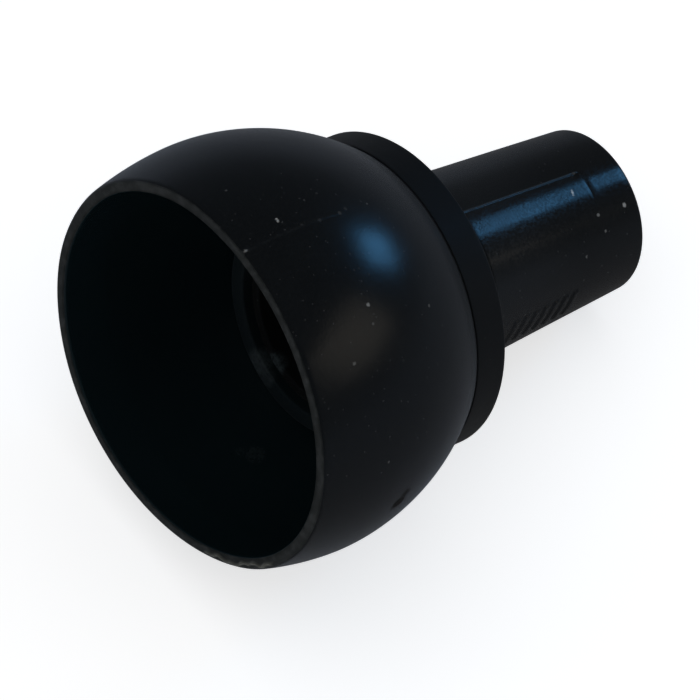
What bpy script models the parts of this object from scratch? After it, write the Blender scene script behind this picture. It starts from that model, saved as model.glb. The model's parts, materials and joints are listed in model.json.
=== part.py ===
"""An open-mouthed blower bulb with a neck collar and a pull-off nozzle.

Every piece is turned about one axis. Outlines are given in millimetres as
(radius, distance behind the mouth), and the assembly lies on its side on the
bench, resting on the bulb's widest ring and the rim of the nozzle's tip.
"""

import math

import bpy
import bmesh
from mathutils import Vector

# Driving dimensions, in millimetres.
BALL_RADIUS = 28.0
BALL_STRETCH = 1.0715       # length of the ball along the axis over its width
BALL_CENTRE = 11.1          # distance behind the mouth
MOUTH_FLARE = 0.5           # how far the mouth opens out beyond the ball's curve
FLARE_LENGTH = 9.0
WALL = 2.0
COLLAR_RADIUS = 21.85
COLLAR_REAR = 34.9
NOZZLE_ROOT_RADIUS = 13.6
NOZZLE_TIP_RADIUS = 11.6
OVERALL_LENGTH = 69.5
SPIGOT_RADIUS = 12.4        # the part of the nozzle that plugs into the collar
SPIGOT_LENGTH = 13.6
SPIGOT_DRAFT = 0.2
BORE_ROOT_RADIUS = 10.6
BORE_TIP_RADIUS = 9.8
SLEEVE_WALL = 2.5
SLEEVE_FRONT = 19.6
SNAP_BEAD_HEIGHT = 0.8
SNAP_BEAD_LENGTH = 1.4
CLAMP_WIDTH = 3.9
CLAMP_LENGTH = 3.3
SOCKET_RECESS = 1.0         # depth of the counterbore that takes the nozzle's shoulder
GAP = 0.3                   # clearance between neighbouring pieces
STEP_BACK = 0.2             # the ball's shoulder lies this far inside the collar's edge

MM = 0.001
SEGMENTS = 40
BALL_STEPS = 12
FILLET_STEPS = 2
SHARP_ANGLE = math.radians(35)

# Sizes that follow from the driving dimensions.
BALL_LENGTH_RADIUS = BALL_RADIUS * BALL_STRETCH
SHOULDER_RADIUS = COLLAR_RADIUS - STEP_BACK
SEAT = BALL_CENTRE + BALL_STRETCH * math.sqrt(BALL_RADIUS ** 2 - SHOULDER_RADIUS ** 2)
SOCKET_RADIUS = SPIGOT_RADIUS + GAP
SLEEVE_RADIUS = SOCKET_RADIUS + SLEEVE_WALL
RECESS_RADIUS = NOZZLE_ROOT_RADIUS + GAP
RECESS_FLOOR = COLLAR_REAR - SOCKET_RECESS
NOZZLE_SHOULDER = RECESS_FLOOR + GAP


def clear_scene():
    for item in list(bpy.data.objects):
        bpy.data.objects.remove(item, do_unlink=True)


def moulded(name, colour, roughness):
    """A moulded rubber or plastic material of one colour."""
    material = bpy.data.materials.new(name)
    material.use_nodes = True
    shader = material.node_tree.nodes["Principled BSDF"]
    shader.inputs["Base Color"].default_value = (*colour, 1.0)
    shader.inputs["Roughness"].default_value = roughness
    shader.inputs["Metallic"].default_value = 0.0
    return material


def fillet(before, corner, after, radius):
    """The points of a round that takes the place of one corner."""
    back = (before - corner).normalized()
    ahead = (after - corner).normalized()
    half_angle = back.angle(ahead) / 2
    reach = radius / math.tan(half_angle)
    centre = corner + (back + ahead).normalized() * radius / math.sin(half_angle)
    start = corner + back * reach - centre
    end = corner + ahead * reach - centre
    sweep = start.angle(end)
    points = []
    for step in range(FILLET_STEPS + 1):
        part = step / FILLET_STEPS
        from_start = start * math.sin((1 - part) * sweep)
        from_end = end * math.sin(part * sweep)
        points.append(centre + (from_start + from_end) / math.sin(sweep))
    return points


def outline(corners):
    """A closed outline from (radius, distance, fillet radius) corners."""
    places = [Vector((radius, distance)) for radius, distance, _ in corners]
    points = []
    for index, (_, _, rounding) in enumerate(corners):
        corner = places[index]
        if rounding > 0:
            following = places[(index + 1) % len(places)]
            points.extend(fillet(places[index - 1], corner, following, rounding))
        else:
            points.append(corner)
    return points


def flare(distance):
    """How far the shell stands out from the ball's curve near the mouth."""
    return MOUTH_FLARE * max(0.0, 1 - distance / FLARE_LENGTH) ** 2


def ball_arc(inset, start, end):
    """Corners along the ball, inset from its outside, between two distances."""
    across = BALL_RADIUS - inset
    along = BALL_LENGTH_RADIUS - inset
    first = math.acos((BALL_CENTRE - start) / along)
    last = math.acos((BALL_CENTRE - end) / along)
    corners = []
    for step in range(BALL_STEPS + 1):
        turn = first + (last - first) * step / BALL_STEPS
        distance = BALL_CENTRE - along * math.cos(turn)
        radius = across * math.sin(turn) + flare(distance)
        corners.append((radius, distance, 0))
    return corners


def with_round(corner, rounding):
    return (corner[0], corner[1], rounding)


def turned(name, points, material, parent):
    """A solid of revolution about the parent's Z axis, mouth at the top."""
    shape = bmesh.new()
    ring = [shape.verts.new((point.x * MM, 0, -point.y * MM)) for point in points]
    loop = [shape.edges.new((ring[i - 1], ring[i])) for i in range(len(ring))]
    bmesh.ops.spin(
        shape,
        geom=ring + loop,
        axis=(0, 0, 1),
        cent=(0, 0, 0),
        angle=2 * math.pi,
        steps=SEGMENTS,
        use_merge=True,
    )
    bmesh.ops.recalc_face_normals(shape, faces=shape.faces)
    mesh = bpy.data.meshes.new(name)
    shape.to_mesh(mesh)
    shape.free()
    mesh.materials.append(material)
    mesh.shade_smooth()
    mesh.set_sharp_from_angle(angle=SHARP_ANGLE)
    piece = bpy.data.objects.new(name, mesh)
    bpy.context.collection.objects.link(piece)
    piece.parent = parent
    piece.rotation_euler.z = math.pi / SEGMENTS
    return piece


def bulb_shell(parent):
    """The thin ball: open mouth in front, flat back wall with a neck hole."""
    outside = ball_arc(0, 0, SEAT)
    back_wall = SEAT - WALL
    inside = ball_arc(WALL, 0, back_wall)
    hole = SLEEVE_RADIUS + GAP
    corners = [with_round(outside[0], 0.35)]
    corners += outside[1:-1]
    corners.append(with_round(outside[-1], 0.3))
    corners.append((hole, SEAT, 0.3))
    corners.append((hole, back_wall, 0.3))
    corners.append(with_round(inside[-1], 1.2))
    corners += reversed(inside[1:-1])
    corners.append(with_round(inside[0], 0.35))
    rubber = moulded("bulb_rubber", (0.012, 0.013, 0.015), 0.42)
    return turned("bulb_shell", outline(corners), rubber, parent)


def neck_collar(parent):
    """The ring behind the ball, with a sleeve that passes into the bulb."""
    front = SEAT + GAP
    bead_rear = SEAT - WALL - GAP - CLAMP_LENGTH - GAP
    bead_front = bead_rear - SNAP_BEAD_LENGTH
    bead = SLEEVE_RADIUS + SNAP_BEAD_HEIGHT
    corners = [
        (COLLAR_RADIUS, front, 0.25),
        (COLLAR_RADIUS, COLLAR_REAR, 0.5),
        (RECESS_RADIUS, COLLAR_REAR, 0.2),
        (RECESS_RADIUS, RECESS_FLOOR, 0),
        (SOCKET_RADIUS, RECESS_FLOOR, 0.2),
        (SOCKET_RADIUS, SLEEVE_FRONT, 0.4),
        (SLEEVE_RADIUS, SLEEVE_FRONT, 0.4),
        (SLEEVE_RADIUS, bead_front, 0),
        (bead, bead_rear - SNAP_BEAD_LENGTH / 3, 0.2),
        (bead, bead_rear, 0.2),
        (SLEEVE_RADIUS, bead_rear, 0),
        (SLEEVE_RADIUS, front, 0),
    ]
    plastic = moulded("collar_plastic", (0.010, 0.010, 0.011), 0.5)
    return turned("neck_collar", outline(corners), plastic, parent)


def neck_clamp_ring(parent):
    """The ring inside the bulb that holds its back wall against the collar."""
    inner = SLEEVE_RADIUS + GAP
    outer = inner + CLAMP_WIDTH
    rear = SEAT - WALL - GAP
    front = rear - CLAMP_LENGTH
    corners = [
        (outer, front, 0.5),
        (outer, rear, 0.3),
        (inner, rear, 0.3),
        (inner, front, 0.3),
    ]
    plastic = moulded("clamp_plastic", (0.014, 0.014, 0.015), 0.45)
    return turned("neck_clamp_ring", outline(corners), plastic, parent)


def nozzle_tube(parent):
    """The tapered open tube, with a shoulder and a spigot for the collar."""
    root = NOZZLE_SHOULDER - SPIGOT_LENGTH
    corners = [
        (SPIGOT_RADIUS - SPIGOT_DRAFT, root, 0.5),
        (SPIGOT_RADIUS, NOZZLE_SHOULDER, 0),
        (NOZZLE_ROOT_RADIUS, NOZZLE_SHOULDER, 0.25),
        (NOZZLE_TIP_RADIUS, OVERALL_LENGTH, 0.5),
        (BORE_TIP_RADIUS, OVERALL_LENGTH, 0.3),
        (BORE_ROOT_RADIUS, root, 0.4),
    ]
    plastic = moulded("nozzle_plastic", (0.010, 0.011, 0.013), 0.22)
    return turned("nozzle_tube", outline(corners), plastic, parent)


def rest_tilt():
    """How far the nozzle dips when ball and tip both touch the bench."""
    flat = math.cos(math.pi / SEGMENTS)
    low = 0.0
    high = math.pi / 4
    for _ in range(40):
        tilt = (low + high) / 2
        dip = math.sin(tilt)
        level = math.cos(tilt) * flat
        ball = BALL_CENTRE * dip + math.hypot(BALL_LENGTH_RADIUS * dip, BALL_RADIUS * level)
        tip = OVERALL_LENGTH * dip + NOZZLE_TIP_RADIUS * level
        if tip < ball:
            low = tilt
        else:
            high = tilt
    return tilt


def bench_corners(pieces):
    """The lowest and highest corners of all pieces, in world metres."""
    bpy.context.view_layer.update()
    points = [piece.matrix_world @ vert.co for piece in pieces for vert in piece.data.vertices]
    low = Vector([min(point[axis] for point in points) for axis in range(3)])
    high = Vector([max(point[axis] for point in points) for axis in range(3)])
    return low, high


def lay_on_bench(axis, pieces):
    """Tip the axis over and centre the assembly above the world origin."""
    axis.rotation_euler.y = rest_tilt() - math.pi / 2
    low, high = bench_corners(pieces)
    middle = (low + high) / 2
    axis.location -= Vector((middle.x, middle.y, low.z))
    bpy.context.view_layer.update()


def build():
    clear_scene()
    axis = bpy.data.objects.new("turning_axis", None)
    bpy.context.collection.objects.link(axis)
    makers = (bulb_shell, neck_collar, neck_clamp_ring, nozzle_tube)
    pieces = [make(axis) for make in makers]
    lay_on_bench(axis, pieces)


build()
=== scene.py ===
"""The looks of an open-mouthed blower bulb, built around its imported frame.

Every piece is turned about one axis, which runs from the mouth to the nozzle's
tip. A place on a piece is a distance behind the mouth in millimetres and an
angle about the axis in degrees, counted from the upward side towards +Y.
"""
import json
import math

import bpy
import numpy as np
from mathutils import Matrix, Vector


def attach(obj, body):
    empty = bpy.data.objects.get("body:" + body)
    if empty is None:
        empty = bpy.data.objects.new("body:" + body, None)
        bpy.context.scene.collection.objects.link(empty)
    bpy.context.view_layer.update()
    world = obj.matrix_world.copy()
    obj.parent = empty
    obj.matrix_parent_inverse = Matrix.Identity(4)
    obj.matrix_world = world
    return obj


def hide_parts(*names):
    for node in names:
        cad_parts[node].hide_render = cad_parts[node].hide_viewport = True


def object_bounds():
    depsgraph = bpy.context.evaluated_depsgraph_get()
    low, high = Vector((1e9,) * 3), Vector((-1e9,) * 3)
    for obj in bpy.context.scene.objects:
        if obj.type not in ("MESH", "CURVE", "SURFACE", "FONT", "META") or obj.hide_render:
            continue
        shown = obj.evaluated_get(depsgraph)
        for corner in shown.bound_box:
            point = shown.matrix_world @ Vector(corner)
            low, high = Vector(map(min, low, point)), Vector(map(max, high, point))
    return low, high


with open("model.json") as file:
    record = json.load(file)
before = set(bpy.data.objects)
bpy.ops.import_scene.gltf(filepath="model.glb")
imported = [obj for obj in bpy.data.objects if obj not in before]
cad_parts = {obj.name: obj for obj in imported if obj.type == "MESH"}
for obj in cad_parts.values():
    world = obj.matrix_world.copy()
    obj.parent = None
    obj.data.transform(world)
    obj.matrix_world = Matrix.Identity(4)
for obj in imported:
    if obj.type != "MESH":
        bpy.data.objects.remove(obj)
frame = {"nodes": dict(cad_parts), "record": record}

MM = 0.001

# Sizes that the frame doesn't state on its own, in millimetres.
WALL = 2.0
BALL_CENTRE = 11.1          # distance behind the mouth
BALL_STRETCH = 1.0715       # length of the ball along the axis over its width
MOUTH_FLARE = 0.5           # how far the mouth opens out beyond the ball's curve
FLARE_LENGTH = 9.0
SLEEVE_WALL = 2.5
SNAP_BEAD_HEIGHT = 0.8
SNAP_BEAD_LENGTH = 1.4
CLAMP_WIDTH = 3.9
SOCKET_RECESS = 1.0
NOZZLE_ROOT_RADIUS = 13.6
NOZZLE_TIP_RADIUS = 11.6
SPIGOT_DRAFT = 0.2
BORE_ROOT_RADIUS = 10.6
BORE_TIP_RADIUS = 9.8
GAP = 0.3
COLLAR_SEAM = 0.03          # the hairline between the ball and the collar

# Mesh fineness: degrees between columns, millimetres between rows.
COLUMN_STEP = 1.5           # where nothing fine happens
GROOVE_STEP = 0.6
RELIEF_STEP = 0.4           # across the flash and the ribs
LINE_STEP = 0.15            # across a mould line
BALL_ROWS = 0.45
MOUTH_ROWS = 0.12           # on the mouth's face, within MOUTH_FACE of its edge
MOUTH_FACE = 0.5
COLLAR_ROWS = 0.5
TUBE_ROWS = 0.2             # on the nozzle's outside
PLAIN_ROWS = 0.8            # on surfaces without marks
ROUND_STEPS = 6             # sides of a rounded corner
ARC_STEPS = 96              # sides of the ball's profile
ARC_SKIP = 3                # profile points that a rounded corner takes the place of
SHARP_ANGLE = math.radians(50)

# Marks on the ball: distances in millimetres, angles in degrees.
BALL_SKIN = 0.25            # outside marks reach this deep at full strength
BALL_LINE_ANGLE = -7.3      # where the ball's mould line starts at the mouth
BALL_LINE_LEAN = -0.1       # degrees per millimetre
BALL_LINE_END = 14.4
BALL_LINE_FADE = 4.0
BALL_LINE_HEIGHT = 0.05
BALL_LINE_WIDTH = 0.16
BALL_LINE_ZONE = (-11.0, -5.6)
NIB_ANGLE = -7.0
NIB_HEIGHT = 0.3
NIB_WIDTH = 0.3
NIB_LENGTH = 1.2
FLASH_FROM = -151.0         # torn flash along the mouth's lower edge
FLASH_TO = -117.0
FLASH_INSET = 2.0           # the flash starts to fade this far before its ends
FLASH_FADE = 3.0
FLASH_HEIGHT = 0.4
FLASH_WIDTH = 0.25
FLASH_REACH = 0.4           # how far behind the mouth it is gone
CREST_DEPTH = 0.85          # how far its crest lies inside the ball's outside
CREST_WANDER = 0.26         # how far the crest strays from there
FLASH_PALENESS = 1.3
LIP_THINNING = 0.4          # how much thinner the wall is at the mouth
LIP_LENGTH = 7.0
# painted light: from this depth in the wall the inside is coloured lighter and teal, as painted
# bluish light
INSIDE_DEPTH = 1.3          # the look of the inside starts this deep in the wall
INSIDE_FADE = 0.4
OVAL_LENGTH = 15.0          # the mouth's lack of roundness dies away over this length
OVAL_FROM = 134.9           # the angle that its waves are counted from
OVAL_WAVES = (              # (waves round the mouth, cosine share, sine share)
    (2, 0.0223, 0.0232),
    (3, 0.0089, -0.0059),
)
CUT_EDGE = (0.14, 0.02)     # the cut look at the mouth fades in between these distances

# Marks on the nozzle, in the same units.
TUBE_SKIN = 0.3
TUBE_LINE_START_ANGLE = -6.1
TUBE_LINE_END_ANGLE = -7.1
TUBE_LINE_START = 42.0
TUBE_LINE_END = 62.3
TUBE_LINE_FADE = 0.4
TUBE_LINE_HEIGHT = 0.07
TUBE_LINE_WIDTH = 0.13
TUBE_LINE_ZONE = (-8.0, -2.5)
GROOVE_AT = 62.4
GROOVE_DEPTH = 0.035
GROOVE_WIDTH = 0.13
GROOVE_MIDDLE = -23.0
GROOVE_SPAN = 9.0
GROOVE_ZONE = (-38.0, -8.1)
SWELL_HEIGHT = 0.035        # a slight swelling between the groove and the tip
SWELL_RISE = 0.8
SWELL_MIDDLE = -17.0
SWELL_SPAN = 11.0
PIT_AT = 61.4
PIT_ANGLE = -8.6
PIT_DEPTH = 0.14
PIT_LENGTH = 0.5
PIT_WIDTH = 0.35
RIB_COUNT = 7
RIB_FIRST = 45.2
RIB_PITCH = 1.85
RIB_WIDTH = 0.75
RIB_HEIGHT = 0.24
RIB_EDGE = 0.2
RIB_MIDDLE = -92.0
RIB_SPAN = 8.5              # half the ribs' length round the tube, in degrees
RIB_END_FADE = 1.2
RIB_SLANT = 0.05            # millimetres along the tube per degree round it
RIB_ZONE = (-103.0, -80.5)
TIP_FADE = 1.5              # marks die away over this length before the tip
GLOSS_FADE = (43.0, 60.0)   # the nozzle's gloss falls from the collar towards the tip
SPIGOT_FADE = (26.0, 33.5)  # and it is dull on the spigot, inside the neck
DULL_RING_AT = 41.0         # a dull ring round the nozzle, close to the collar
DULL_RING = (0.35, 0.75)    # half its width, and where its edge has faded out

# What several pieces share: how softly marks end, how far they keep from an edge, waviness.
SKIN_EDGE = 0.3
EDGE_MARGIN = 1.0
RIPPLE_WAVES = 7
BALL_RIPPLE = (16, 0.03, 3)     # wavelength, height, seed
COLLAR_RIPPLE = (14, 0.015, 5)
TUBE_RIPPLE = (18, 0.012, 8)
# painted light: inside the ball the collar fades to the inside's painted bluish light
NECK_FADE = (0.6, 1.4)      # the collar takes on the look of the inside this far into the ball

# Bright dust, and on the nozzle also a painted highlight: (distance, angle, size in millimetres,
# strength).
BALL_SPECKS = (
    (6.05, -3.3, 0.32, 0.90),
    (6.05, -3.9, 0.34, 0.90),
    (0.20, -7.3, 0.52, 0.35),
    (0.55, -7.0, 0.34, 0.22),
    (10.95, -33.4, 0.30, 0.38),
    (6.4, -45.7, 0.32, 0.18),
    (20.4, -39.9, 0.24, 0.12),
    (3.6, 0.4, 0.24, 0.08),
    (8.3, -7.7, 0.26, 0.03),
    (10.8, -8.6, 0.30, 0.03),
    (14.0, -8.7, 0.34, 0.06),
    (15.2, -8.0, 0.30, 0.04),
)
NOZZLE_SPECKS_AND_GLINT = (
    # the next three are a painted highlight: the glint of a small nick on the nozzle's shine
    (59.5, -18.0, 0.24, 0.55),
    (59.4, -19.3, 0.26, 0.80),
    (59.3, -20.8, 0.22, 0.50),
    (66.9, -39.2, 0.38, 0.60),
    (61.9, -38.6, 0.32, 0.30),
    (62.4, -50.0, 0.25, 0.20),
    (58.3, -60.6, 0.25, 0.18),
    (61.6, -7.2, 0.30, 0.06),
)

# A dark spot on the ball's outside, and painted glints inside the bulb, on its neck and on the
# spigot's end, in the same form.
# darker spots on the ball's outside, where the sheen is also taken away
BALL_DARK_SPOTS = (
    (14.2, -95.5, 1.4, 1.0),
    (14.9, -92.5, 1.0, 0.8),
    (13.7, -97.2, 0.6, 0.6),
)
# painted highlights: hazy glints on the inside of the ball
INNER_PAINTED_GLINTS = (
    (18.6, 179.5, 1.7, 0.7),
    (17.2, 176.0, 0.9, 0.4),
)
# painted highlights: hazy glints on the neck's front face, down inside the bulb
NECK_PAINTED_GLINTS = (
    (19.6, 156.0, 2.4, 0.9),
    (19.6, 166.0, 1.6, 0.6),
)
NECK_GLINT_RADIUS = 13.6
# painted highlight: a hazy glint on the spigot's end face
SPIGOT_PAINTED_GLINTS = (
    (20.6, 163.0, 2.0, 0.9),
)
SPIGOT_GLINT_RADIUS = 11.6


# ---------------------------------------------------------------- the frame

def mount(name):
    for item in frame["record"]["mounts"]:
        if item["name"] == name:
            return item
    raise KeyError(name)


AXIS = Vector(mount("nozzle_tip_face")["axis"]).normalized()
SIDE = Vector((0, 1, 0))
UP = AXIS.cross(SIDE)
RIM_POINT = Vector(mount("mouth_rim_face")["pos_m"])
MOUTH = RIM_POINT - SIDE * RIM_POINT.dot(SIDE)


def reach(node):
    """A node's nearest and farthest distance behind the mouth and its greatest radius."""
    offsets = [vert.co - MOUTH for vert in frame["nodes"][node].data.vertices]
    distances = [offset.dot(AXIS) / MM for offset in offsets]
    radii = [(offset - AXIS * offset.dot(AXIS)).length / MM for offset in offsets]
    return min(distances), max(distances), max(radii)


def place(distance, angle, radius):
    """The point in the row frame at a distance, an angle and a radius."""
    turn = math.radians(angle)
    across = UP * math.cos(turn) + SIDE * math.sin(turn)
    return MOUTH + (AXIS * distance + across * radius) * MM


_, SEAT, BALL_RADIUS = reach("bulb_shell")
SLEEVE_FRONT, COLLAR_REAR, COLLAR_RADIUS = reach("neck_collar")
CLAMP_FRONT, CLAMP_REAR, CLAMP_RADIUS = reach("neck_clamp_ring")
SPIGOT_FRONT, TIP, _ = reach("nozzle_tube")
RECESS_FLOOR = COLLAR_REAR - SOCKET_RECESS
RECESS_RADIUS = NOZZLE_ROOT_RADIUS + GAP
SHOULDER = RECESS_FLOOR + GAP
SLEEVE_RADIUS = CLAMP_RADIUS - CLAMP_WIDTH - GAP
SOCKET_RADIUS = SLEEVE_RADIUS - SLEEVE_WALL
SPIGOT_RADIUS = SOCKET_RADIUS - GAP


# ---------------------------------------------------------------- outlines

def fillet(before, corner, after, radius):
    """The points of a round that takes the place of one corner."""
    back = (before - corner).normalized()
    ahead = (after - corner).normalized()
    half_angle = back.angle(ahead) / 2
    centre = corner + (back + ahead).normalized() * radius / math.sin(half_angle)
    start = corner + back * radius / math.tan(half_angle) - centre
    end = corner + ahead * radius / math.tan(half_angle) - centre
    sweep = start.angle(end)
    points = []
    for step in range(ROUND_STEPS + 1):
        part = step / ROUND_STEPS
        blend = start * math.sin((1 - part) * sweep) + end * math.sin(part * sweep)
        points.append(centre + blend / math.sin(sweep))
    return points


def outline(corners):
    """A closed outline from (radius, distance, fillet radius) corners."""
    places = [Vector((radius, distance)) for radius, distance, _ in corners]
    points = []
    for index, (_, _, rounding) in enumerate(corners):
        corner = places[index]
        if rounding > 0:
            following = places[(index + 1) % len(places)]
            points.extend(fillet(places[index - 1], corner, following, rounding))
        else:
            points.append(corner)
    return points


def divide(points, spacing):
    """Splits the outline's long sides, so that fine shapes have rows to live on."""
    divided = []
    for index, point in enumerate(points):
        following = points[(index + 1) % len(points)]
        middle = (point + following) / 2
        count = max(1, math.ceil((following - point).length / spacing(middle)))
        divided += [point.lerp(following, step / count) for step in range(count)]
    return divided


def everywhere(value):
    """A spacing or radius that is the same at every place."""
    return lambda somewhere: value


def flare(distance):
    """How far the ball stands out from its plain curve near the mouth."""
    return MOUTH_FLARE * max(0.0, 1 - distance / FLARE_LENGTH) ** 2


def ball_arc(inset, start, end):
    """Corners along the ball, inset from its outside, between two distances."""
    across = BALL_RADIUS - inset
    along = BALL_RADIUS * BALL_STRETCH - inset
    first = math.acos((BALL_CENTRE - start) / along)
    last = math.acos((BALL_CENTRE - end) / along)
    corners = []
    for step in range(ARC_STEPS + 1):
        turn = first + (last - first) * step / ARC_STEPS
        distance = BALL_CENTRE - along * math.cos(turn)
        corners.append((across * math.sin(turn) + flare(distance), distance, 0))
    return corners


def ball_radius(distance):
    share = (distance - BALL_CENTRE) / (BALL_RADIUS * BALL_STRETCH)
    return BALL_RADIUS * math.sqrt(1 - share ** 2) + flare(distance)


def inner_radius(distance):
    return ball_radius(distance) - WALL


def nozzle_radius(distance):
    share = (distance - SHOULDER) / (TIP - SHOULDER)
    return NOZZLE_ROOT_RADIUS + (NOZZLE_TIP_RADIUS - NOZZLE_ROOT_RADIUS) * share


# ---------------------------------------------------------------- shaping

def columns(*fine_zones):
    """The angles of a mesh's columns: even ones, and finer ones in (low, high, step) zones."""
    angles = list(np.arange(-180, 180, COLUMN_STEP))
    for low, high, step in fine_zones:
        angles = [angle for angle in angles if not low - step < angle < high + step]
        angles += list(np.arange(low, high + step / 2, step))
    return np.array(sorted(angles))


def hump(values, middle, width):
    """A smooth bump, 1 high, at the middle."""
    return np.exp(-((values - middle) / width) ** 2)


def plateau(values, middle, half_width, edge):
    """1 inside the band, 0 outside it, with soft edges."""
    share = np.clip((half_width + edge - np.abs(values - middle)) / edge, 0, 1)
    return share * share * (3 - 2 * share)


def rise(values, length):
    """0 up to zero, then evenly up to 1 at that length."""
    return np.clip(values / length, 0, 1)


def fall(values, length):
    """1 up to zero, then evenly down to 0 at that length."""
    return np.clip(1 - values / length, 0, 1)


def aside(angles, meridian, radii):
    """Millimetres round the surface from a meridian."""
    return np.radians(angles - meridian) * radii


def wave(angles, count, shift=0.0):
    """A sine wave that goes a number of times round the axis."""
    return np.sin(np.radians(angles) * count + shift)


def ripple(distances, angles, radius, wavelength, height, seed):
    """A gentle moulded waviness: a few sine waves that run in different directions."""
    rng = np.random.default_rng(seed)
    total = np.zeros_like(distances)
    around = 2 * math.pi * radius
    for _ in range(RIPPLE_WAVES):
        turns = round(rng.uniform(-1, 1) * around / wavelength)
        along = rng.uniform(-1, 1) * 2 * math.pi / wavelength
        phase = rng.uniform(0, 2 * math.pi)
        total += np.sin(np.radians(angles) * turns + distances * along + phase)
    return height * total / RIPPLE_WAVES ** 0.5


def mouth_oval(angles):
    """How far the mouth stands from round, as a share of its radius."""
    turn = np.radians(OVAL_FROM - angles)
    return sum(cosine * np.cos(waves * turn) + sine * np.sin(waves * turn)
               for waves, cosine, sine in OVAL_WAVES)


def torn_flash(radii, distances, angles, outer):
    """A wandering, ragged crest on the mouth's face, along its lower edge."""
    crest = outer - CREST_DEPTH + CREST_WANDER * (wave(angles, 23) + 0.6 * wave(angles, 61, 1))
    ragged = 0.78 + 0.22 * wave(angles, 83, 2) * wave(angles, 47)
    half = (FLASH_TO - FLASH_FROM) / 2 - FLASH_INSET
    zone = plateau(angles, (FLASH_FROM + FLASH_TO) / 2, half, FLASH_FADE)
    return hump(radii, crest, FLASH_WIDTH) * zone * ragged * fall(distances, FLASH_REACH)


def shape_bulb(radii, distances, angles):
    """The soft mouth, the mould line, a nib and the torn flash on the mouth's edge."""
    outer = np.vectorize(ball_radius)(np.clip(distances, 0, SEAT))
    depth = outer - radii
    skin = plateau(radii, outer, BALL_SKIN, SKIN_EDGE)
    meridian = BALL_LINE_ANGLE + BALL_LINE_LEAN * distances
    line = hump(aside(angles, meridian, outer), 0, BALL_LINE_WIDTH)
    line = line * skin * rise(BALL_LINE_END - distances, BALL_LINE_FADE)
    nib = hump(aside(angles, NIB_ANGLE, outer), 0, NIB_WIDTH) * fall(distances, NIB_LENGTH) * skin
    flash = torn_flash(radii, distances, angles, outer)
    waves = ripple(distances, angles, BALL_RADIUS, *BALL_RIPPLE) * fall(distances, SEAT)
    radii = radii + LIP_THINNING * rise(depth, WALL) * fall(distances, LIP_LENGTH)
    radii = radii * (1 + mouth_oval(angles) * fall(distances, OVAL_LENGTH) ** 2)
    radii = radii + BALL_LINE_HEIGHT * line + NIB_HEIGHT * nib + waves
    marks = {
        "pale": np.clip(flash * FLASH_PALENESS, 0, 1),
        "line": line,
        "inside": rise(depth - INSIDE_DEPTH, INSIDE_FADE),
    }
    return radii, distances - FLASH_HEIGHT * flash, marks


def slanted_ribs(distances, angles):
    """A row of plain ribs round a short stretch of the tube, each 1 high."""
    ribs = np.zeros_like(distances)
    for index in range(RIB_COUNT):
        middle = RIB_FIRST + index * RIB_PITCH + RIB_SLANT * (angles - RIB_MIDDLE)
        ribs = np.maximum(ribs, plateau(distances, middle, RIB_WIDTH / 2, RIB_EDGE))
    return ribs * plateau(angles, RIB_MIDDLE, RIB_SPAN, RIB_END_FADE)


def shape_nozzle(radii, distances, angles):
    """The mould line, groove, swelling and pit near the tip, and a row of plain ribs."""
    outer = np.vectorize(nozzle_radius)(np.clip(distances, SHOULDER, TIP))
    skin = plateau(radii, outer, TUBE_SKIN, SKIN_EDGE) * (distances > SHOULDER + EDGE_MARGIN)
    along = (distances - TUBE_LINE_START) / (TUBE_LINE_END - TUBE_LINE_START)
    meridian = TUBE_LINE_START_ANGLE + (TUBE_LINE_END_ANGLE - TUBE_LINE_START_ANGLE) * along
    line = hump(aside(angles, meridian, outer), 0, TUBE_LINE_WIDTH)
    line = line * rise(TUBE_LINE_END - distances, TUBE_LINE_FADE)
    groove = hump(distances, GROOVE_AT, GROOVE_WIDTH) * hump(angles, GROOVE_MIDDLE, GROOVE_SPAN)
    swell = rise(distances - GROOVE_AT, SWELL_RISE) * hump(angles, SWELL_MIDDLE, SWELL_SPAN)
    pit = hump(distances, PIT_AT, PIT_LENGTH) * hump(aside(angles, PIT_ANGLE, outer), 0, PIT_WIDTH)
    relief = TUBE_LINE_HEIGHT * line - GROOVE_DEPTH * groove + SWELL_HEIGHT * swell
    relief = relief - PIT_DEPTH * pit + RIB_HEIGHT * slanted_ribs(distances, angles)
    relief = relief + ripple(distances, angles, NOZZLE_TIP_RADIUS, *TUBE_RIPPLE)
    radii = radii + relief * skin * rise(TIP - distances, TIP_FADE)
    return radii, distances, {"pale": np.zeros_like(radii), "line": line * skin}


def shape_collar(radii, distances, angles):
    """A gentle waviness on the outside."""
    waves = ripple(distances, angles, COLLAR_RADIUS, *COLLAR_RIPPLE)
    outside = radii > RECESS_RADIUS + EDGE_MARGIN
    return shape_plain(radii + waves * outside, distances, angles)


def shape_plain(radii, distances, angles):
    """No change, and no marks."""
    blank = np.zeros_like(angles)
    return radii, distances, {"pale": blank, "line": blank}


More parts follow.
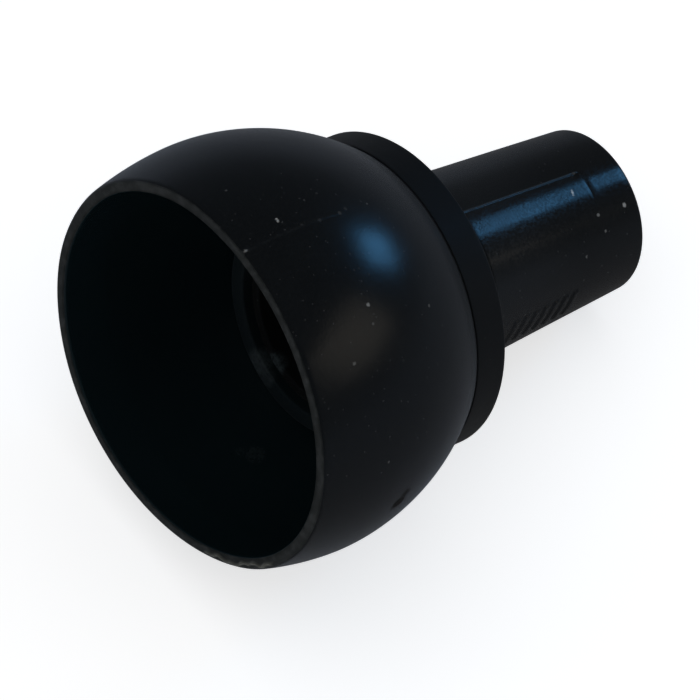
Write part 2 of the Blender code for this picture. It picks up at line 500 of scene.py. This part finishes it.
def turned(name, points, angles, shape, material):
    """A closed mesh turned about the axis, its outline reshaped column by column."""
    grid = np.ones((len(points), len(angles)))
    radii = grid * np.array([point.x for point in points])[:, None]
    distances = grid * np.array([point.y for point in points])[:, None]
    turn = grid * angles[None, :]
    radii, distances, marks = shape(radii, distances, turn)
    axis, up, side = np.array(AXIS), np.array(UP), np.array(SIDE)
    cosine, sine = np.cos(np.radians(turn)), np.sin(np.radians(turn))
    across = cosine[..., None] * up + sine[..., None] * side
    verts = np.array(MOUTH) + MM * (distances[..., None] * axis + radii[..., None] * across)
    rows, cols = grid.shape
    row, col = np.meshgrid(np.arange(rows), np.arange(cols), indexing="ij")
    down, right = (row + 1) % rows, (col + 1) % cols
    faces = [row * cols + col, down * cols + col, down * cols + right, row * cols + right]
    faces = np.stack(faces, -1)
    mesh = bpy.data.meshes.new(name)
    mesh.from_pydata(verts.reshape(-1, 3).tolist(), [], faces.reshape(-1, 4).tolist())
    for mark, values in marks.items():
        attribute = mesh.attributes.new(mark, "FLOAT", "POINT")
        attribute.data.foreach_set("value", values.astype(np.float32).ravel())
    unwrap(mesh, points, angles, row, col)
    mesh.materials.append(material)
    mesh.shade_smooth()
    mesh.set_sharp_from_angle(angle=SHARP_ANGLE)
    piece = bpy.data.objects.new(name, mesh)
    bpy.context.scene.collection.objects.link(piece)
    return piece


def unwrap(mesh, points, angles, row, col):
    """A flat map of the mesh: round the axis across, along the outline upwards."""
    across = np.append(angles, 180.0) / 360 + 0.5
    lengths = np.array([(points[i] - points[i - 1]).length for i in range(1, len(points))])
    closing = (points[0] - points[-1]).length
    along = np.concatenate([[0], np.cumsum(np.append(lengths, closing))])
    along = along / along[-1]
    corner_u = np.stack([across[col], across[col], across[col + 1], across[col + 1]], -1)
    corner_v = np.stack([along[row], along[row + 1], along[row + 1], along[row]], -1)
    layer = mesh.uv_layers.new(name="turned")
    layer.data.foreach_set("uv", np.stack([corner_u, corner_v], -1).astype(np.float32).ravel())


# ---------------------------------------------------------------- materials

# Colours, as linear red, green and blue. Pairs are the ends that a mottle runs between.
# pale lint, and on the nozzle also the colour of a painted highlight
LINT_AND_PAINTED_GLINT = (0.50, 0.50, 0.48)
DUST = (0.20, 0.20, 0.20)
# painted highlight: the colour of the hazy glints on the neck and the spigot's end
PAINTED_GLINT_COLOUR = (0.034, 0.045, 0.048)
RUBBER = ((0.0026, 0.0031, 0.0034), (0.0040, 0.0046, 0.0048))
RUBBER_GRAIN = (0.010, 0.011, 0.012)
# painted light: the inside of the same rubber, lighter and teal, standing in for bluish light
# inside the bulb
RUBBER_INSIDE_PAINTED_LIGHT = (0.0055, 0.0125, 0.0150)
# painted highlight: the colour of the hazy glints inside the ball
RUBBER_INNER_GLINT = (0.020, 0.027, 0.029)
RUBBER_CUT = ((0.0080, 0.0092, 0.0076), (0.027, 0.029, 0.028))
RUBBER_LINE = (0.015, 0.017, 0.018)
RUBBER_DARK_SPOT = (0.0015, 0.0016, 0.0017)
RUBBER_FLASH = (0.105, 0.105, 0.088)
RUBBER_SHEEN = (0.80, 0.88, 1.0, 1.0)
COLLAR = ((0.0023, 0.0029, 0.0036), (0.0036, 0.0042, 0.0049))
# painted light: the collar's inside, lighter and teal like the bulb's inside
COLLAR_INSIDE_PAINTED_LIGHT = (0.0040, 0.0090, 0.0110)
# painted light: teal, and lightened to make up for the shade down inside the bulb
CLAMP_PAINTED_LIGHT = ((0.0045, 0.0100, 0.0120), (0.0055, 0.0120, 0.0140))
NOZZLE = ((0.0044, 0.0050, 0.0054), (0.0060, 0.0066, 0.0068))
NOZZLE_LINE = (0.026, 0.034, 0.042)

SPECK_GRAIN = 0.3           # size of the noise that makes a speck ragged, in millimetres
SPECK_SHIFT = 0.25          # how far it shifts a speck's edge
SPECK_CORE = 0.55           # share of a speck's size at full strength
DUST_CORE = 0.5


class Graph:
    """A material's node tree, with a short call for each kind of node used here."""

    def __init__(self, name):
        self.material = bpy.data.materials.new(name)
        self.material.use_nodes = True
        self.tree = self.material.node_tree
        self.shader = self.tree.nodes["Principled BSDF"]
        self.position = self.node("ShaderNodeTexCoord").outputs["Object"]

    def node(self, kind, **settings):
        made = self.tree.nodes.new(kind)
        for key, value in settings.items():
            setattr(made, key, value)
        return made

    def feed(self, socket, value):
        """Links a socket to another one, or sets it to a constant."""
        if isinstance(value, bpy.types.NodeSocket):
            self.tree.links.new(value, socket)
        else:
            socket.default_value = value

    def surface(self, settings):
        """Feeds the shader's sockets by name, and gives the finished material."""
        for name, value in settings.items():
            self.feed(self.shader.inputs[name], value)
        return self.material

    def math(self, operation, *values):
        made = self.node("ShaderNodeMath", operation=operation)
        for socket, value in zip(made.inputs, values):
            self.feed(socket, value)
        return made.outputs[0]

    def vector(self, operation, *values):
        made = self.node("ShaderNodeVectorMath", operation=operation)
        for socket, value in zip(made.inputs, values):
            self.feed(socket, value)
        scalar = operation in ("DOT_PRODUCT", "DISTANCE", "LENGTH")
        return made.outputs["Value" if scalar else "Vector"]

    def fade(self, value, start, end, low=0.0, high=1.0):
        """Goes smoothly from low to high as the value goes from start to end."""
        made = self.node("ShaderNodeMapRange", interpolation_type="SMOOTHSTEP")
        for socket, given in zip(made.inputs, (value, start, end, low, high)):
            self.feed(socket, given)
        return made.outputs["Result"]

    def patches(self, mottle, low, high):
        """Goes between two values with the mottle, level in its darks and lights."""
        return self.fade(mottle, 0.3, 0.7, low, high)

    def noise(self, size, detail=2.0, roughness=0.5, output="Fac"):
        """Noise whose blobs are about that many millimetres wide."""
        made = self.node("ShaderNodeTexNoise")
        self.feed(made.inputs["Vector"], self.position)
        made.inputs["Scale"].default_value = 1 / (size * MM)
        made.inputs["Detail"].default_value = detail
        made.inputs["Roughness"].default_value = roughness
        return made.outputs[output]

    def mix(self, factor, first, second):
        made = self.node("ShaderNodeMix", data_type="RGBA")
        self.feed(made.inputs["Factor"], factor)
        for socket, value in zip((made.inputs[6], made.inputs[7]), (first, second)):
            self.feed(socket, (*value, 1.0) if isinstance(value, tuple) else value)
        return made.outputs[2]

    def attribute(self, name):
        return self.node("ShaderNodeAttribute", attribute_name=name).outputs["Fac"]

    def bump(self, height, depth, normal=None):
        """A bump of that depth in millimetres, on top of another one."""
        made = self.node("ShaderNodeBump")
        made.inputs["Strength"].default_value = 1.0
        made.inputs["Distance"].default_value = depth * MM
        self.feed(made.inputs["Height"], height)
        if normal is not None:
            self.feed(made.inputs["Normal"], normal)
        return made.outputs["Normal"]

    def behind_mouth(self):
        """Millimetres behind the mouth."""
        offset = self.vector("SUBTRACT", self.position, tuple(MOUTH))
        return self.math("DIVIDE", self.vector("DOT_PRODUCT", offset, tuple(AXIS)), MM)

    def specks(self, marks, radius_at):
        """Spots at given places on a surface, slightly ragged."""
        shift = self.noise(SPECK_GRAIN, 1.0, output="Color")
        shift = self.vector("SUBTRACT", shift, (0.5, 0.5, 0.5))
        spread = self.node("ShaderNodeVectorMath", operation="SCALE")
        self.feed(spread.inputs[0], shift)
        spread.inputs["Scale"].default_value = SPECK_SHIFT * MM
        moved = self.vector("ADD", self.position, spread.outputs["Vector"])
        total = None
        for distance, angle, size, strength in marks:
            point = place(distance, angle, radius_at(distance))
            away = self.vector("DISTANCE", moved, tuple(point))
            spot = self.fade(away, size * MM, SPECK_CORE * size * MM, 0.0, strength)
            total = spot if total is None else self.math("MAXIMUM", total, spot)
        return total

    def scuffs_and_glints(self, marks, radius_at, grain, start=0.25):
        """Specks that are broken up by the grain: the painted glints."""
        return self.math("MULTIPLY", self.specks(marks, radius_at), self.fade(grain, start, 0.6))

    def dust(self, spacing, size, share, strength):
        """Fine random dust: a dot in a share of the cells of that spacing."""
        cells = self.node("ShaderNodeTexVoronoi")
        self.feed(cells.inputs["Vector"], self.position)
        cells.inputs["Scale"].default_value = 1 / (spacing * MM)
        near = self.fade(cells.outputs["Distance"], size / spacing, DUST_CORE * size / spacing)
        pick = self.node("ShaderNodeSeparateColor")
        self.feed(pick.inputs[0], cells.outputs["Color"])
        chosen = self.fade(pick.outputs[0], 1 - share, 1.0)
        return self.math("MULTIPLY", self.math("MULTIPLY", near, chosen), strength)


def bulb_rubber():
    """Satin black rubber, dusty, with a paler matt cut at the mouth's edge."""
    graph = Graph("visual_bulb_rubber")
    mottle = graph.noise(9, 3.0)
    grain = graph.noise(0.45, 3.0, 0.6)
    scuffs_and_glints = graph.noise(1.6, 4.0, 0.7)
    cut = graph.fade(graph.behind_mouth(), *CUT_EDGE)
    inside = graph.attribute("inside")
    outside = graph.math("SUBTRACT", 1.0, inside)
    dark_spot = graph.specks(BALL_DARK_SPOTS, ball_radius)
    colour = graph.mix(mottle, *RUBBER)
    colour = graph.mix(graph.fade(grain, 0.45, 0.8, 0.0, 0.35), colour, RUBBER_GRAIN)
    # painted bluish light inside the bulb
    colour = graph.mix(inside, colour, RUBBER_INSIDE_PAINTED_LIGHT)
    # painted highlights: hazy glints inside the ball
    painted_glint = graph.scuffs_and_glints(INNER_PAINTED_GLINTS, inner_radius, grain, start=0.3)
    colour = graph.mix(graph.math("MULTIPLY", painted_glint, inside), colour, RUBBER_INNER_GLINT)
    worn = graph.mix(graph.fade(scuffs_and_glints, 0.42, 0.70), *RUBBER_CUT)
    colour = graph.mix(cut, colour, worn)
    line = graph.math("MULTIPLY", graph.attribute("line"), graph.fade(scuffs_and_glints, 0.35, 0.7, 0.1, 0.7))
    colour = graph.mix(line, colour, RUBBER_LINE)
    fine = graph.dust(0.8, 0.15, 0.7, strength=0.12)
    coarse = graph.dust(2.4, 0.24, 0.5, strength=0.28)
    dust = graph.math("MULTIPLY", graph.math("MAXIMUM", fine, coarse), outside)
    colour = graph.mix(dust, colour, DUST)
    colour = graph.mix(dark_spot, colour, RUBBER_DARK_SPOT)
    colour = graph.mix(graph.specks(BALL_SPECKS, ball_radius), colour, LINT_AND_PAINTED_GLINT)
    colour = graph.mix(graph.attribute("pale"), colour, RUBBER_FLASH)
    rough = graph.patches(mottle, 0.215, 0.260)
    unspotted = graph.math("SUBTRACT", 1.0, dark_spot)
    return graph.surface({
        "Base Color": colour,
        "Roughness": graph.math("ADD", rough, graph.math("MULTIPLY", cut, 0.25)),
        "Specular IOR Level": 0.5,
        "Sheen Weight": graph.math("MULTIPLY", graph.math("MULTIPLY", unspotted, outside), 0.135),
        "Sheen Roughness": 0.35,
        "Sheen Tint": RUBBER_SHEEN,
        "Normal": graph.bump(scuffs_and_glints, 0.012, graph.bump(grain, 0.010)),
    })


def collar_plastic():
    """Matt black moulded plastic with a fine even grain."""
    graph = Graph("visual_collar_plastic")
    mottle = graph.noise(7, 3.0)
    grain = graph.noise(0.35, 3.0, 0.6)
    colour = graph.mix(mottle, *COLLAR)
    colour = graph.mix(graph.dust(1.2, 0.13, 0.5, strength=0.13), colour, DUST)
    start, end = NECK_FADE
    # painted bluish light on the part of the collar inside the ball
    inside = graph.fade(graph.behind_mouth(), SEAT - start, SEAT - end)
    colour = graph.mix(inside, colour, COLLAR_INSIDE_PAINTED_LIGHT)
    # painted highlights: hazy glints on the neck's front face
    painted_glint = graph.scuffs_and_glints(NECK_PAINTED_GLINTS, everywhere(NECK_GLINT_RADIUS), grain)
    colour = graph.mix(painted_glint, colour, PAINTED_GLINT_COLOUR)
    return graph.surface({
        "Base Color": colour,
        "Roughness": graph.patches(mottle, 0.56, 0.68),
        "Specular IOR Level": 0.3,
        "Sheen Weight": 0.04,
        "Sheen Roughness": 0.5,
        "Normal": graph.bump(grain, 0.014),
    })


def clamp_plastic():
    """Dark matt plastic, seen only down inside the bulb."""
    graph = Graph("visual_clamp_plastic")
    mottle = graph.noise(5, 3.0)
    return graph.surface({
        # painted light: teal, lightened against the shade inside the bulb
        "Base Color": graph.mix(mottle, *CLAMP_PAINTED_LIGHT),
        "Roughness": graph.patches(mottle, 0.62, 0.74),
        "Specular IOR Level": 0.15,
        "Normal": graph.bump(graph.noise(0.4, 3.0, 0.6), 0.012),
    })


def nozzle_plastic():
    """Semi-gloss black plastic with a speckled skin, a painted glint among the specks and a
    painted glint on the spigot's end.
    """
    graph = Graph("visual_nozzle_plastic")
    mottle = graph.noise(6, 3.0)
    grain = graph.noise(0.36, 2.0, 0.5)
    colour = graph.mix(mottle, *NOZZLE)
    line = graph.math("MULTIPLY", graph.attribute("line"), 0.7)
    colour = graph.mix(line, colour, NOZZLE_LINE)
    colour = graph.mix(graph.dust(0.9, 0.15, 0.6, strength=0.14), colour, DUST)
    # dust specks, and among them a painted highlight on the nozzle's shine
    colour = graph.mix(graph.specks(NOZZLE_SPECKS_AND_GLINT, nozzle_radius), colour, LINT_AND_PAINTED_GLINT)
    # painted highlight: a hazy glint on the spigot's end
    painted_glint = graph.scuffs_and_glints(SPIGOT_PAINTED_GLINTS, everywhere(SPIGOT_GLINT_RADIUS), grain)
    colour = graph.mix(painted_glint, colour, PAINTED_GLINT_COLOUR)
    behind = graph.behind_mouth()
    from_ring = graph.math("ABSOLUTE", graph.math("SUBTRACT", behind, DULL_RING_AT))
    gloss = graph.fade(behind, *GLOSS_FADE, low=0.68, high=0.30)
    gloss = graph.math("MULTIPLY", gloss, graph.fade(from_ring, *DULL_RING, low=0.25))
    gloss = graph.math("MULTIPLY", gloss, graph.fade(behind, *SPIGOT_FADE, low=0.12))
    return graph.surface({
        "Base Color": colour,
        "Roughness": graph.fade(grain, 0.36, 0.66, 0.12, 0.25),
        "Specular IOR Level": gloss,
        "Sheen Weight": 0.04,
        "Sheen Roughness": 0.5,
        "Normal": graph.bump(grain, 0.007),
    })


# ---------------------------------------------------------------- pieces

def bulb_outline():
    back_wall = SEAT - WALL
    hole = SLEEVE_RADIUS + GAP
    outside = ball_arc(0, 0, SEAT)
    inside = ball_arc(WALL, 0, back_wall)
    corners = [(*outside[0][:2], 0.6)] + outside[ARC_SKIP:-1] + [(*outside[-1][:2], 0.08)]
    corners += [(hole, SEAT, 0.3), (hole, back_wall, 0.3), (*inside[-1][:2], 1.2)]
    corners += inside[-1 - ARC_SKIP:ARC_SKIP - 1:-1] + [(*inside[0][:2], 0.35)]
    return divide(outline(corners), bulb_rows)


def bulb_rows(middle):
    return MOUTH_ROWS if middle.y < MOUTH_FACE else BALL_ROWS


def collar_outline():
    front = SEAT + COLLAR_SEAM
    bead_rear = CLAMP_FRONT - GAP
    bead_front = bead_rear - SNAP_BEAD_LENGTH
    bead = SLEEVE_RADIUS + SNAP_BEAD_HEIGHT
    corners = [
        (COLLAR_RADIUS, front, 0.1),
        (COLLAR_RADIUS, COLLAR_REAR, 0.3),
        (RECESS_RADIUS, COLLAR_REAR, 0.2),
        (RECESS_RADIUS, RECESS_FLOOR, 0.1),
        (SOCKET_RADIUS, RECESS_FLOOR, 0.2),
        (SOCKET_RADIUS, SLEEVE_FRONT, 0.4),
        (SLEEVE_RADIUS, SLEEVE_FRONT, 0.4),
        (SLEEVE_RADIUS, bead_front, 0.2),
        (bead, bead_rear - SNAP_BEAD_LENGTH / 3, 0.3),
        (bead, bead_rear, 0.2),
        (SLEEVE_RADIUS, bead_rear, 0.1),
        (SLEEVE_RADIUS, front, 0.1),
    ]
    return divide(outline(corners), everywhere(COLLAR_ROWS))


def clamp_outline():
    inner = SLEEVE_RADIUS + GAP
    corners = [
        (CLAMP_RADIUS, CLAMP_FRONT, 0.5),
        (CLAMP_RADIUS, CLAMP_REAR, 0.3),
        (inner, CLAMP_REAR, 0.3),
        (inner, CLAMP_FRONT, 0.3),
    ]
    return divide(outline(corners), everywhere(PLAIN_ROWS))


def nozzle_outline():
    corners = [
        (SPIGOT_RADIUS - SPIGOT_DRAFT, SPIGOT_FRONT, 0.5),
        (SPIGOT_RADIUS, SHOULDER, 0.1),
        (NOZZLE_ROOT_RADIUS, SHOULDER, 0.25),
        (NOZZLE_TIP_RADIUS, TIP, 0.5),
        (BORE_TIP_RADIUS, TIP, 0.3),
        (BORE_ROOT_RADIUS, SPIGOT_FRONT, 0.4),
    ]
    return divide(outline(corners), nozzle_rows)


def nozzle_rows(middle):
    return TUBE_ROWS if middle.x > NOZZLE_TIP_RADIUS else PLAIN_ROWS


def add_piece(name, node, body, points, angles, shape, material):
    piece = turned(name, points, angles, shape, material)
    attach(piece, body)
    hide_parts(node)


def build_pieces():
    flash_zone = (FLASH_FROM - FLASH_FADE, FLASH_TO + FLASH_FADE, RELIEF_STEP)
    bulb_angles = columns((*BALL_LINE_ZONE, LINE_STEP), flash_zone)
    tube_angles = columns((*GROOVE_ZONE, GROOVE_STEP), (*TUBE_LINE_ZONE, LINE_STEP),
                          (*RIB_ZONE, RELIEF_STEP))
    add_piece("bulb_shell_soft", "bulb_shell", "bulb",
              bulb_outline(), bulb_angles, shape_bulb, bulb_rubber())
    add_piece("neck_collar_round", "neck_collar", "bulb",
              collar_outline(), columns(), shape_collar, collar_plastic())
    add_piece("neck_clamp_ring_round", "neck_clamp_ring", "bulb",
              clamp_outline(), columns(), shape_plain, clamp_plastic())
    add_piece("nozzle_tube_round", "nozzle_tube", "nozzle",
              nozzle_outline(), tube_angles, shape_nozzle, nozzle_plastic())


# ---------------------------------------------------------------- the studio

FLOOR_SIZE = 6.0            # metres
FLOOR_EMISSION = 0.67       # the floor is a light table: partly lit from below
FLOOR_TONES = ((0.85, 0.85, 0.85), (0.87, 0.87, 0.87))
WHITE = (1, 1, 1)
WINDOW_BLUE = (0.137, 0.50, 1.0)
LAMP_WARM = (1.0, 0.91, 0.78)
GLOWS = (                   # (how far up it comes from, from -1 to 1, and its colour)
    (-1.0, (0.032, 0.032, 0.034)),
    (-0.85, (0.042, 0.042, 0.045)),
    (-0.55, (0.070, 0.076, 0.088)),
    (-0.10, (0.092, 0.108, 0.134)),
    (0.15, (0.052, 0.062, 0.076)),
    (1.0, (0.046, 0.054, 0.064)),
)

CAMERA_AZIMUTH = -37.137
CAMERA_ELEVATION = 56.877
CAMERA_DISTANCE = 0.4553
CAMERA_AIM = Vector((-0.01074, -0.00777, 0.0))  # from the middle of the CAD box
LENS = 183.34
SENSOR_WIDTH = 36.0
CLIP_START = 0.01
CLIP_END = 20.0


def floor_material():
    graph = Graph("studio_floor")
    return graph.surface({
        "Base Color": graph.mix(graph.noise(60, 2.0), *FLOOR_TONES),
        "Emission Color": (*WHITE, 1),
        "Emission Strength": FLOOR_EMISSION,
        "Roughness": 0.9,
        "Specular IOR Level": 0.0,
    })


def add_floor(height):
    """A pale square floor, which doesn't show in the pieces' reflections."""
    half = FLOOR_SIZE / 2
    corners = [(x * half, y * half, height) for x, y in ((-1, -1), (1, -1), (1, 1), (-1, 1))]
    mesh = bpy.data.meshes.new("studio_floor")
    mesh.from_pydata(corners, [], [(0, 1, 2, 3)])
    mesh.materials.append(floor_material())
    floor = bpy.data.objects.new("studio_floor", mesh)
    bpy.context.scene.collection.objects.link(floor)
    floor.visible_glossy = False


def add_panel(name, direction, distance, width, height, radiance, colour, glossy=True):
    """A soft rectangular light that faces the object from a direction."""
    light = bpy.data.lights.new(name, "AREA")
    light.shape = "RECTANGLE"
    light.size = width
    light.size_y = height
    light.energy = radiance * math.pi * width * height
    light.color = colour
    lamp = bpy.data.objects.new(name, light)
    bpy.context.scene.collection.objects.link(lamp)
    way = Vector(direction).normalized()
    lamp.location = way * distance
    lamp.rotation_mode = "QUATERNION"
    lamp.rotation_quaternion = way.to_track_quat("Z", "Y")
    lamp.visible_camera = False
    lamp.visible_glossy = glossy


def add_lights():
    add_panel("overhead_softbox", direction=(0, 0, 1), distance=1.6,
              width=3.2, height=3.2, radiance=0.62, colour=WHITE, glossy=False)
    add_panel("window", direction=(0.925, -0.045, 0.378), distance=2.5,
              width=0.60, height=0.64, radiance=4.3, colour=WINDOW_BLUE)
    add_panel("warm_lamp", direction=(0.597, -0.635, 0.490), distance=2.5,
              width=1.1, height=1.1, radiance=0.42, colour=LAMP_WARM)


def add_world():
    """White behind the object, and for everything else a dim glow that varies with height."""
    world = bpy.data.worlds.new("studio_air")
    bpy.context.scene.world = world
    world.use_nodes = True
    nodes, links = world.node_tree.nodes, world.node_tree.links
    nodes.clear()
    seen = nodes.new("ShaderNodeBackground")
    seen.inputs["Color"].default_value = (*WHITE, 1)
    glow = nodes.new("ShaderNodeBackground")
    way = nodes.new("ShaderNodeTexCoord")
    split = nodes.new("ShaderNodeSeparateXYZ")
    links.new(way.outputs["Generated"], split.inputs[0])
    height = nodes.new("ShaderNodeMapRange")
    links.new(split.outputs["Z"], height.inputs["Value"])
    height.inputs["From Min"].default_value = -1.0
    height.inputs["From Max"].default_value = 1.0
    ramp = nodes.new("ShaderNodeValToRGB")
    stops = ramp.color_ramp.elements
    for stop, (level, colour) in zip((stops[0], stops[1]), (GLOWS[0], GLOWS[-1])):
        stop.position = (level + 1) / 2
        stop.color = (*colour, 1)
    for level, colour in GLOWS[1:-1]:
        stops.new((level + 1) / 2).color = (*colour, 1)
    links.new(height.outputs["Result"], ramp.inputs["Fac"])
    links.new(ramp.outputs["Color"], glow.inputs["Color"])
    path = nodes.new("ShaderNodeLightPath")
    blend = nodes.new("ShaderNodeMixShader")
    output = nodes.new("ShaderNodeOutputWorld")
    links.new(path.outputs["Is Camera Ray"], blend.inputs[0])
    links.new(glow.outputs[0], blend.inputs[1])
    links.new(seen.outputs[0], blend.inputs[2])
    links.new(blend.outputs[0], output.inputs["Surface"])


def add_camera():
    """A long lens that looks down at the mouth and one side, as in the photo."""
    low, high = cad_box
    azimuth, elevation = math.radians(CAMERA_AZIMUTH), math.radians(CAMERA_ELEVATION)
    level = math.cos(elevation)
    back = Vector((math.sin(azimuth) * level, -math.cos(azimuth) * level, math.sin(elevation)))
    camera = bpy.data.cameras.new("camera")
    camera.lens = LENS
    camera.sensor_width = SENSOR_WIDTH
    camera.clip_start = CLIP_START
    camera.clip_end = CLIP_END
    eye = bpy.data.objects.new("camera", camera)
    bpy.context.scene.collection.objects.link(eye)
    eye.location = (low + high) / 2 + CAMERA_AIM + back * CAMERA_DISTANCE
    eye.rotation_mode = "QUATERNION"
    eye.rotation_quaternion = (-back).to_track_quat("-Z", "Y")
    bpy.context.scene.camera = eye


cad_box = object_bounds()
build_pieces()
visual_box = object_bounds()
add_floor(visual_box[0].z)
add_lights()
add_world()
add_camera()
bpy.context.scene.view_settings.view_transform = "Standard"
